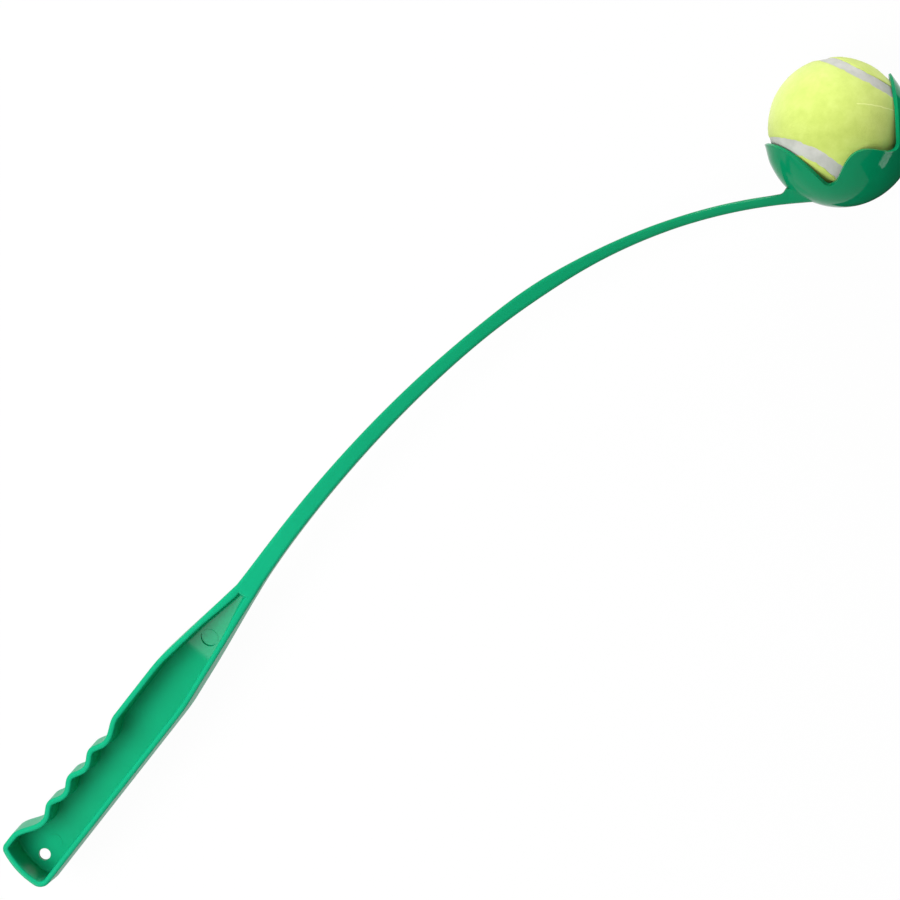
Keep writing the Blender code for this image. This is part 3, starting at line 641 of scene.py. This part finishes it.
def makeRampDisc(name, shift, low, high, turn):
    # A disc that lies along the pocket's ramp, turned a little about its upper edge
    half = bodySetup["padDiameter"] / 2
    reach = pocketEnd - bodySetup["padSetback"]
    slope = (pocketFloorHeight(reach + half) - pocketFloorHeight(reach - half)) / (half * 2)
    edge = Vector((reach + half - bodySetup["origin"], 0, pocketFloorHeight(reach + half)))
    form = startDisc(half, high - low)
    moveForm(form, (-half - shift, 0, (low + high) / 2))
    lie = Matrix.Rotation(-math.atan(slope) - turn, 4, "Y")
    bmesh.ops.transform(form, matrix=Matrix.Translation(edge) @ lie, verts=form.verts[:])
    return makePiece(name, form)


def joinPoints(form):
    # Points that lie on each other become one, so that the surface stays closed
    bmesh.ops.remove_doubles(form, verts=form.verts[:], dist=bodySetup["joinReach"])
    faceOutwards(form)


def makeMoulding():
    setup = bodySetup
    body = makeHandleAndArm()
    applyModifiers(body)
    changePiece(body, lambda form: bmesh.ops.triangulate(form, faces=form.faces[:]))
    hole = makeUprightDisc("hole", setup["holeDiameter"], -setup["wall"], middleHeight,
                           setup["holeReach"])
    addBoolean(body, "DIFFERENCE", hole)
    tip = math.atan(setup["padDepth"] / setup["padDiameter"])
    groove = makeRampDisc("groove", setup["padGroove"], 0, setup["wall"], tip)
    addBoolean(body, "DIFFERENCE", groove)
    pad = makeRampDisc("pad", 0, -setup["wall"], setup["markProud"], 0)
    addBoolean(body, "UNION", pad)
    mark = makeUprightDisc("mark", setup["markDiameter"], setup["floor"] / 2,
                           setup["floor"] + setup["markProud"], setup["markReach"])
    addBoolean(body, "UNION", mark)
    # The arm ends inside the cup's wall, and nothing of it stands in the bowl
    form = bmesh.new()
    bmesh.ops.create_uvsphere(form, u_segments=cupSetup["trimColumns"],
                              v_segments=cupSetup["trimRings"],
                              radius=cupSetup["inner"] + cupSetup["wall"] / 2)
    moveForm(form, cupCentre)
    trim = makePiece("trim", form)
    addBoolean(body, "DIFFERENCE", trim)
    cup = makeCup()
    addBoolean(body, "UNION", cup)
    applyModifiers(body)
    changePiece(body, joinPoints)
    for cutter in (hole, groove, pad, mark, trim, cup):
        bpy.data.objects.remove(cutter)
    body.data.shade_smooth()
    body.data.set_sharp_from_angle(angle=math.radians(edgeSetup["shadeAngle"]))
    body.modifiers.new("even shading", "WEIGHTED_NORMAL").keep_sharp = True
    return body


moulding = makeMoulding()
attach(moulding, "launcher")
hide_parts("launcher_moulding")
print("moulding made:", len(moulding.data.polygons), "faces")


# Ball: two felt panels with their loose fibres, and the seam that shows between them
ballSetup = {
    "radius": 0.0325, "seat": 0.0043, "felt": 0.0030,
    "seamWidth": 0.0075, "seamShare": 0.156, "seamTurn": (-11.3, 3.1, -35.9), "seamSink": 0.0004,
    "seamHollow": 0.0001, "seamSteps": 1440, "fineness": 6, "fineRun": 0.0016,
    "edgeRound": 0.0011, "edgeDrop": 0.00032, "edgeEnd": 0.98, "touch": 0.00003,
    "lump": 0.00012, "lumpScale": 6.0, "nap": 0.00006, "napScale": 42.0,
    "ripple": 0.00006, "rippleScale": 25.0,
    "fray": 0.0009, "frayScale": 9.0, "frayDetail": 3,
    "shadeAngle": 50,
}
ballCentre = cupCentre + mouthAxis * ballSetup["seat"]


def seamPoint(share):
    # The closed curve that a tennis ball's seam follows
    turn = 2 * math.pi * share
    near = ballSetup["seamShare"]
    wide = 1 - near
    return Vector((wide * math.cos(turn) + near * math.cos(3 * turn),
                   wide * math.sin(turn) - near * math.sin(3 * turn),
                   2 * math.sqrt(wide * near) * math.sin(2 * turn)))


seamTurn = Euler([math.radians(angle) for angle in ballSetup["seamTurn"]]).to_matrix()
feltTop = seamTurn @ Vector((0, 0, 1))


def seamLine():
    # Points along the seam on a ball of radius 1, each with the way across the seam there
    steps = ballSetup["seamSteps"]
    points, ways = [], []
    for step in range(steps):
        point = seamTurn @ seamPoint(step / steps)
        along = seamTurn @ (seamPoint((step + 0.5) / steps) - seamPoint((step - 0.5) / steps))
        points.append(point.normalized())
        ways.append(point.cross(along).normalized())
    tree = KDTree(steps)
    for index, point in enumerate(points):
        tree.insert(point, index)
    tree.balance()
    return points, ways, tree


linePoints, lineWays, lineTree = seamLine()


def seamDistance(place):
    # Metres from the middle of the seam, with the panel's side as the sign
    direction = place.normalized()
    _, index, _ = lineTree.find(direction)
    return (direction - linePoints[index]).dot(lineWays[index]) * ballSetup["radius"]


def seamEdge(place, distance):
    # The point beside the nearest piece of the seam, at a given distance from its middle
    direction = place.normalized()
    _, index, _ = lineTree.find(direction)
    return (linePoints[index] + lineWays[index] * distance / ballSetup["radius"]).normalized()


def ballSurface(kept, limits):
    # The ball's faces that reach past the limits go; what is left ends exactly on the limits
    setup = ballSetup
    form = bmesh.new()
    bmesh.ops.create_icosphere(form, subdivisions=setup["fineness"], radius=setup["radius"])
    fine = []
    for edge in form.edges:
        distance = seamDistance(edge.verts[0].co)
        if any(abs(distance - limit) < setup["fineRun"] for limit in limits):
            fine.append(edge)
    bmesh.ops.subdivide_edges(form, edges=fine, cuts=1, use_grid_fill=True)
    bmesh.ops.triangulate(form, faces=form.faces[:])
    for vert in form.verts:
        vert.co = vert.co.normalized() * setup["radius"]
    distances = {vert: seamDistance(vert.co) for vert in form.verts}
    gone = [face for face in form.faces if not any(kept(distances[vert]) for vert in face.verts)]
    bmesh.ops.delete(form, geom=gone, context="FACES")
    for vert in form.verts:
        if not kept(distances[vert]):
            limit = min(limits, key=lambda value: abs(value - distances[vert]))
            vert.co = seamEdge(vert.co, limit) * setup["radius"]
    return form


def thicken(form):
    # A copy of the skin becomes its inner face, down to the depth of the felt
    inside = set(newVerts(bmesh.ops.extrude_face_region(form, geom=form.faces[:],
                                                        use_keep_orig=True)))
    for vert in inside:
        vert.co = vert.co.normalized() * (ballSetup["radius"] - ballSetup["felt"])
    return [vert for vert in form.verts if vert not in inside]


def makeFeltPanel(name, side):
    setup = ballSetup
    half = setup["seamWidth"] / 2 + setup["touch"]
    top = side * math.copysign(1, seamDistance(feltTop))
    form = ballSurface(lambda distance: distance * top > half, [half * top])
    for vert in thicken(form):
        direction = vert.co.normalized()
        # The outer face rounds over at the seam, and the nap is a little uneven
        edge = abs(seamDistance(direction)) - half
        share = min(max(1 - edge / setup["edgeRound"], 0), 1)
        lower = setup["edgeDrop"] * (1 - math.sqrt(1 - share * share * setup["edgeEnd"]))
        lump = noise.noise(direction * setup["lumpScale"]) * setup["lump"]
        nap = noise.noise(direction * setup["napScale"]) * setup["nap"]
        # Its border wanders over the seam's edge
        fray = noise.noise(direction * setup["frayScale"])
        fray += noise.noise(direction * setup["frayScale"] * setup["frayDetail"]) / 2
        reach = half + edge - max(fray, 0) * setup["fray"] * share
        direction = seamEdge(direction, top * reach) if share > 0 else direction
        vert.co = direction * (setup["radius"] - lower + lump + nap)
    panel = makePiece(name, form)
    panel.data.shade_smooth()
    return panel


fibreSetup = {
    "seed": 7, "count": 3000, "length": (0.0004, 0.0012), "radius": 0.00004, "lean": 1.1,
    "sunk": 0.0003, "clear": 0.0006, "segments": 3,
}


def makeFibres(name, side):
    # Short loose ends that stand out of one panel's nap
    setup = fibreSetup
    half = ballSetup["seamWidth"] / 2 + ballSetup["touch"]
    top = side * math.copysign(1, seamDistance(feltTop))
    chance = random.Random(setup["seed"] + side)
    form = bmesh.new()
    for _ in range(setup["count"]):
        direction = Vector([chance.gauss(0, 1) for _ in range(3)]).normalized()
        lean = Vector([chance.gauss(0, 1) for _ in range(3)]) * setup["lean"]
        length = chance.uniform(*setup["length"])
        if seamDistance(direction) * top < half + setup["clear"]:
            continue
        way = (direction + lean - direction * lean.dot(direction)).normalized()
        turn = way.to_track_quat("Z", "Y").to_matrix().to_4x4()
        foot = direction * (ballSetup["radius"] - setup["sunk"]) + way * length / 2
        bmesh.ops.create_cone(form, cap_ends=False, segments=setup["segments"],
                              radius1=setup["radius"], radius2=0, depth=length,
                              matrix=Matrix.Translation(foot) @ turn)
    return makePiece(name, form)


def makeSeam():
    setup = ballSetup
    half = setup["seamWidth"] / 2
    form = ballSurface(lambda distance: abs(distance) < half, [-half, half])
    for vert in thicken(form):
        direction = vert.co.normalized()
        hollow = 1 - min(abs(seamDistance(direction)) / half, 1) ** 2
        ripple = noise.noise(direction * setup["rippleScale"]) * setup["ripple"]
        sunk = setup["seamSink"] + setup["seamHollow"] * hollow
        vert.co = direction * (setup["radius"] - sunk + ripple)
    strip = makePiece("seam_strip", form)
    strip.data.shade_smooth()
    return strip


def seatBall(piece, node):
    # From the ball's own centre to its place in the cup
    changePiece(piece, lambda form: moveForm(form, ballCentre))
    piece.data.set_sharp_from_angle(angle=math.radians(ballSetup["shadeAngle"]))
    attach(piece, "ball")
    if node:
        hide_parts(node)


panelA = makeFeltPanel("felt_panel_a", 1)
panelB = makeFeltPanel("felt_panel_b", -1)
seamStrip = makeSeam()
seatBall(panelA, "ball_felt_panel_a")
seatBall(panelB, "ball_felt_panel_b")
seatBall(seamStrip, "ball_seam")
fibresA = makeFibres("felt_fibres_a", 1)
fibresB = makeFibres("felt_fibres_b", -1)
seatBall(fibresA, None)
seatBall(fibresB, None)
print("ball made:", [len(piece.data.polygons) for piece in (panelA, panelB, seamStrip)])


# Materials

def startMaterial(name):
    material = bpy.data.materials.new(name)
    material.use_nodes = True
    tree = material.node_tree
    place = tree.nodes.new("ShaderNodeTexCoord")
    return material, tree, tree.nodes["Principled BSDF"], place.outputs["Object"]


def setInputs(node, values):
    for name, value in values.items():
        node.inputs[name].default_value = value


def addNoise(tree, place, values):
    # The values are scale, detail and roughness
    node = tree.nodes.new("ShaderNodeTexNoise")
    setInputs(node, dict(zip(("Scale", "Detail", "Roughness"), values)))
    tree.links.new(place, node.inputs["Vector"])
    return node.outputs["Fac"]


def addRamp(tree, fac, stops):
    node = tree.nodes.new("ShaderNodeValToRGB")
    ramp = node.color_ramp
    while len(ramp.elements) < len(stops):
        ramp.elements.new(stops[1][0])
    for element, (position, colour) in zip(ramp.elements, stops):
        element.position = position
        element.color = (*colour, 1) if isinstance(colour, tuple) else (colour, colour, colour, 1)
    tree.links.new(fac, node.inputs["Fac"])
    return node.outputs["Color"]


def addMix(tree, blend, fac, first, second):
    node = tree.nodes.new("ShaderNodeMix")
    node.data_type = "RGBA"
    node.blend_type = blend
    if isinstance(fac, float):
        node.inputs["Factor"].default_value = fac
    else:
        tree.links.new(fac, node.inputs["Factor"])
    tree.links.new(first, node.inputs["A"])
    if isinstance(second, tuple):
        node.inputs["B"].default_value = (*second, 1)
    else:
        tree.links.new(second, node.inputs["B"])
    return node.outputs["Result"]


def addMath(tree, operation, first, second):
    node = tree.nodes.new("ShaderNodeMath")
    node.operation = operation
    node.use_clamp = operation == "SUBTRACT"
    for slot, value in zip(node.inputs, (first, second)):
        if isinstance(value, float):
            slot.default_value = value
        else:
            tree.links.new(value, slot)
    return node.outputs["Value"]


def addBump(tree, shader, height, strength, distance):
    node = tree.nodes.new("ShaderNodeBump")
    setInputs(node, {"Strength": strength, "Distance": distance})
    tree.links.new(height, node.inputs["Height"])
    tree.links.new(node.outputs["Normal"], shader.inputs["Normal"])


plasticSetup = {
    # The cup's green is darker than the handle's: painted shade for the lesser light that reaches
    # the cup
    "handle": (0.004, 0.388, 0.188), "cup": (0.001, 0.268, 0.110), "change": (0.05, 0.42),
    "cloud": (1.12, 1.12, 1.12), "cloudNoise": (22.0, 3.0, 0.5),
    "cloudStops": ((0.35, 0.0), (0.65, 0.5)),
    "finishStops": ((0.88, 0.34), (0.99, 0.05)),   # satin handle and arm, glossy cup
    "wear": 0.05, "wearNoise": (60.0, 5.0, 0.6),
    "grain": 0.012, "grainDepth": 0.0002, "grainNoise": (1400.0, 2.0, 0.5),
    "shine": 0.10, "scatter": 0.12, "scatterReach": (0.0012, 0.0040, 0.0026),
}


def makePlastic(setup):
    # Colour and finish change along the launcher, from the handle to the cup; the cup's darker
    # green is painted shade
    material, tree, shader, place = startMaterial("greenPlastic")
    split = tree.nodes.new("ShaderNodeSeparateXYZ")
    tree.links.new(place, split.inputs["Vector"])
    change = tree.nodes.new("ShaderNodeMapRange")
    change.interpolation_type = "SMOOTHSTEP"
    setInputs(change, dict(zip(("From Min", "From Max"), setup["change"])))
    tree.links.new(split.outputs["X"], change.inputs["Value"])
    along = change.outputs["Result"]
    # The ramp to the cup's darker green paints shade onto the cup
    tone = addRamp(tree, along, [(0.0, setup["handle"]), (1.0, setup["cup"])])
    cloud = addRamp(tree, addNoise(tree, place, setup["cloudNoise"]), setup["cloudStops"])
    colour = addMix(tree, "MULTIPLY", cloud, tone, setup["cloud"])
    tree.links.new(colour, shader.inputs["Base Color"])
    finish = addRamp(tree, along, setup["finishStops"])
    wear = addMath(tree, "MULTIPLY", addNoise(tree, place, setup["wearNoise"]), setup["wear"])
    tree.links.new(addMath(tree, "ADD", finish, wear), shader.inputs["Roughness"])
    setInputs(shader, {"Specular IOR Level": setup["shine"], "Subsurface Weight": setup["scatter"],
                       "Subsurface Radius": setup["scatterReach"], "Subsurface Scale": 1.0})
    grain = addNoise(tree, place, setup["grainNoise"])
    addBump(tree, shader, grain, setup["grain"], setup["grainDepth"])
    return material


feltSetup = {
    "stops": ((0.30, (0.600, 0.745, 0.135)), (0.50, (0.660, 0.800, 0.165)),
              (0.72, (0.720, 0.860, 0.210))),
    "mottleNoise": (130.0, 6.0, 0.65), "roughness": 0.95, "shine": 0.15,
    "fibre": 0.35, "fibreDepth": 0.0006, "fibreNoise": (900.0, 6.0, 0.7),
    "sheen": 0.55, "sheenRoughness": 0.6, "sheenTint": (1.0, 1.0, 0.75),
    # One fold of the felt shows as a pale line, a painted highlight where the fold catches the
    # light; its ends are ways from the ball's centre
    "ridgeStart": (0.395, -0.003, 0.887), "ridgeEnd": (0.660, -0.503, 0.517),
    "ridgeHalf": 0.0004, "ridgeWander": 0.0012, "ridgeNoise": (300.0, 3.0, 0.5),
    "foldHighlightColour": (0.900, 0.980, 0.360),
}


def addReach(tree, place, way):
    # How far along one way from the ball's centre a point lies, in metres
    centred = tree.nodes.new("ShaderNodeVectorMath")
    centred.operation = "SUBTRACT"
    centred.inputs[1].default_value = ballCentre
    tree.links.new(place, centred.inputs[0])
    reach = tree.nodes.new("ShaderNodeVectorMath")
    reach.operation = "DOT_PRODUCT"
    reach.inputs[1].default_value = way
    tree.links.new(centred.outputs["Vector"], reach.inputs[0])
    return reach.outputs["Value"]


def addRidge(tree, place, setup):
    # One where a fold of the felt runs from the start to the end: the mask of the fold's painted
    # highlight
    start = Vector(setup["ridgeStart"]).normalized()
    end = Vector(setup["ridgeEnd"]).normalized()
    across = start.cross(end).normalized()
    wander = addMath(tree, "MULTIPLY", addNoise(tree, place, setup["ridgeNoise"]),
                     setup["ridgeWander"])
    offset = addMath(tree, "ADD", addReach(tree, place, across), wander)
    offset = addMath(tree, "ABSOLUTE", offset, 0.0)
    line = addMath(tree, "SUBTRACT", 1.0, addMath(tree, "DIVIDE", offset, setup["ridgeHalf"]))
    middle = (start + end).normalized()
    run = addMath(tree, "DIVIDE", addReach(tree, place, middle), ballSetup["radius"])
    inside = addMath(tree, "GREATER_THAN", run, middle.dot(start))
    return addMath(tree, "MULTIPLY", line, inside)


def makeFelt(setup):
    material, tree, shader, place = startMaterial("yellowFelt")
    colour = addRamp(tree, addNoise(tree, place, setup["mottleNoise"]), setup["stops"])
    ridge = addRidge(tree, place, setup)
    # The fold's pale line is a painted highlight mixed into the felt's colour
    pale = addMix(tree, "MIX", ridge, colour, setup["foldHighlightColour"])
    tree.links.new(pale, shader.inputs["Base Color"])
    setInputs(shader, {"Roughness": setup["roughness"], "Specular IOR Level": setup["shine"],
                       "Sheen Weight": setup["sheen"], "Sheen Roughness": setup["sheenRoughness"],
                       "Sheen Tint": (*setup["sheenTint"], 1)})
    fibre = addNoise(tree, place, setup["fibreNoise"])
    addBump(tree, shader, fibre, setup["fibre"], setup["fibreDepth"])
    return material


seamSetup = {
    "stops": ((0.35, (0.50, 0.51, 0.46)), (0.65, (0.66, 0.66, 0.61))),
    "cloudNoise": (90.0, 4.0, 0.6), "roughness": 0.62,
    "grain": 0.25, "grainDepth": 0.0003, "grainNoise": (1600.0, 3.0, 0.5),
}
coreSetup = {
    "stops": ((0.35, (0.035, 0.035, 0.040)), (0.65, (0.075, 0.075, 0.080))),
    "cloudNoise": (160.0, 4.0, 0.6), "roughness": 0.80,
    "grain": 0.35, "grainDepth": 0.0003, "grainNoise": (1200.0, 3.0, 0.5),
}


def makeRubber(name, setup):
    # For the seam and for the core under the felt
    material, tree, shader, place = startMaterial(name)
    colour = addRamp(tree, addNoise(tree, place, setup["cloudNoise"]), setup["stops"])
    tree.links.new(colour, shader.inputs["Base Color"])
    setInputs(shader, {"Roughness": setup["roughness"]})
    grain = addNoise(tree, place, setup["grainNoise"])
    addBump(tree, shader, grain, setup["grain"], setup["grainDepth"])
    return material


plastic = makePlastic(plasticSetup)
felt = makeFelt(feltSetup)
seamRubber = makeRubber("seamRubber", seamSetup)
coreRubber = makeRubber("coreRubber", coreSetup)
finishes = {moulding: plastic, panelA: felt, panelB: felt, seamStrip: seamRubber,
            fibresA: felt, fibresB: felt,
            nodes["ball_core_half_a"]: coreRubber, nodes["ball_core_half_b"]: coreRubber,
            nodes["launcher_moulding"]: plastic, nodes["ball_seam"]: seamRubber,
            nodes["ball_felt_panel_a"]: felt, nodes["ball_felt_panel_b"]: felt}
for piece, finish in finishes.items():
    piece.data.materials.clear()
    piece.data.materials.append(finish)
print("materials given")


# White studio: floor, flag, softboxes and world

def addPaper(tree, tone):
    node = tree.nodes.new("ShaderNodeBsdfDiffuse")
    setInputs(node, {"Color": (tone, tone, tone, 1)})
    return node.outputs["BSDF"]


def addChoice(tree, bounced, seen):
    # The second shader is for rays that show the background: straight, mirrored or through a piece
    path = tree.nodes.new("ShaderNodeLightPath")
    shown = addMath(tree, "MAXIMUM", path.outputs["Is Camera Ray"], path.outputs["Is Glossy Ray"])
    shown = addMath(tree, "MAXIMUM", shown, path.outputs["Is Transmission Ray"])
    choice = tree.nodes.new("ShaderNodeMixShader")
    tree.links.new(shown, choice.inputs["Fac"])
    tree.links.new(bounced, choice.inputs[1])
    tree.links.new(seen, choice.inputs[2])
    return choice.outputs["Shader"]


floorSetup = {"half": 4.0, "height": -0.0215, "white": 0.95, "bounce": 0.40, "shadow": 0.035}


def makeFloor(setup):
    form = bmesh.new()
    bmesh.ops.create_grid(form, x_segments=1, y_segments=1, size=setup["half"])
    moveForm(form, (0, 0, setup["height"]))
    floor = makePiece("floor", form)
    material = bpy.data.materials.new("studioFloor")
    material.use_nodes = True
    tree = material.node_tree
    tree.nodes.clear()
    # The floor shows white, with a little of the object's shadow
    glow = tree.nodes.new("ShaderNodeEmission")
    setInputs(glow, {"Strength": 1.0})
    blend = tree.nodes.new("ShaderNodeMixShader")
    setInputs(blend, {"Fac": 1 - setup["shadow"]})
    tree.links.new(addPaper(tree, setup["white"]), blend.inputs[1])
    tree.links.new(glow.outputs["Emission"], blend.inputs[2])
    output = tree.nodes.new("ShaderNodeOutputMaterial")
    choice = addChoice(tree, addPaper(tree, setup["bounce"]), blend.outputs["Shader"])
    tree.links.new(choice, output.inputs["Surface"])
    floor.data.materials.append(material)


flagSetup = {
    "corners": ((0.42, -0.12), (0.80, -0.12), (1.30, -1.30), (0.02, -1.30)),
    "low": -0.018, "tall": 0.90, "tone": 0.02,
}


def makeFlag(setup):
    # A bent dark card that only mirrored rays see, so that one side of the cup stays deep green
    form = bmesh.new()
    corners = [form.verts.new((*corner, setup["low"])) for corner in setup["corners"]]
    form.faces.new(corners)
    far = form.edges.get(corners[2:])
    top = newVerts(bmesh.ops.extrude_edge_only(form, edges=[far]))
    bmesh.ops.translate(form, verts=top, vec=(0, 0, setup["tall"]))
    flag = makePiece("flag", form)
    material = bpy.data.materials.new("flagCard")
    material.use_nodes = True
    card = material.node_tree.nodes["Principled BSDF"]
    tone = setup["tone"]
    setInputs(card, {"Base Color": (tone, tone, tone, 1), "Roughness": 1.0})
    flag.data.materials.append(material)
    flag.visible_camera = flag.visible_diffuse = flag.visible_shadow = False
    flag.visible_transmission = False


# A lamp that isn't mirrored shows in no reflection, and one that doesn't light shows only there
lampSetup = {
    "key": {"place": (-0.19, 0.27, 0.87), "size": (0.55, 0.55), "power": 8.8,
            "mirrored": False, "lights": True},
    "side": {"place": (1.15, 0.60, 0.24), "size": (0.50, 0.40), "power": 7.6,
             "mirrored": True, "lights": True},
    "patch": {"place": (0.66, -1.06, 0.07), "size": (0.50, 0.34), "power": 3.6,
              "mirrored": True, "lights": False},
    "ramp": {"place": (-0.72, 0.06, 0.62), "size": (0.35, 0.35), "power": 6.0,
             "mirrored": True, "lights": False},
}
lampAim = Vector((0.19, -0.04, 0.01))


def makeLamp(name, setup):
    data = bpy.data.lights.new(name, "AREA")
    data.shape = "RECTANGLE"
    data.size, data.size_y = setup["size"]
    data.energy = setup["power"]
    lamp = bpy.data.objects.new(name, data)
    lamp.location = setup["place"]
    lamp.visible_glossy = setup["mirrored"]
    lamp.visible_diffuse = setup["lights"]
    lamp.rotation_euler = (lampAim - lamp.location).to_track_quat("-Z", "Y").to_euler()
    bpy.context.scene.collection.objects.link(lamp)


worldSetup = {"strength": 0.36, "seen": 1.0}


def makeWorld(setup):
    world = bpy.data.worlds.new("studio")
    world.use_nodes = True
    tree = world.node_tree
    sky = tree.nodes["Background"]
    setInputs(sky, {"Color": (1, 1, 1, 1), "Strength": setup["strength"]})
    seen = tree.nodes.new("ShaderNodeBackground")
    setInputs(seen, {"Color": (1, 1, 1, 1), "Strength": setup["seen"]})
    choice = addChoice(tree, sky.outputs["Background"], seen.outputs["Background"])
    tree.links.new(choice, tree.nodes["World Output"].inputs["Surface"])
    bpy.context.scene.world = world


makeFloor(floorSetup)
makeFlag(flagSetup)
for name, setup in lampSetup.items():
    makeLamp(name, setup)
makeWorld(worldSetup)
bpy.context.scene.view_settings.view_transform = "Standard"
print("studio lit")
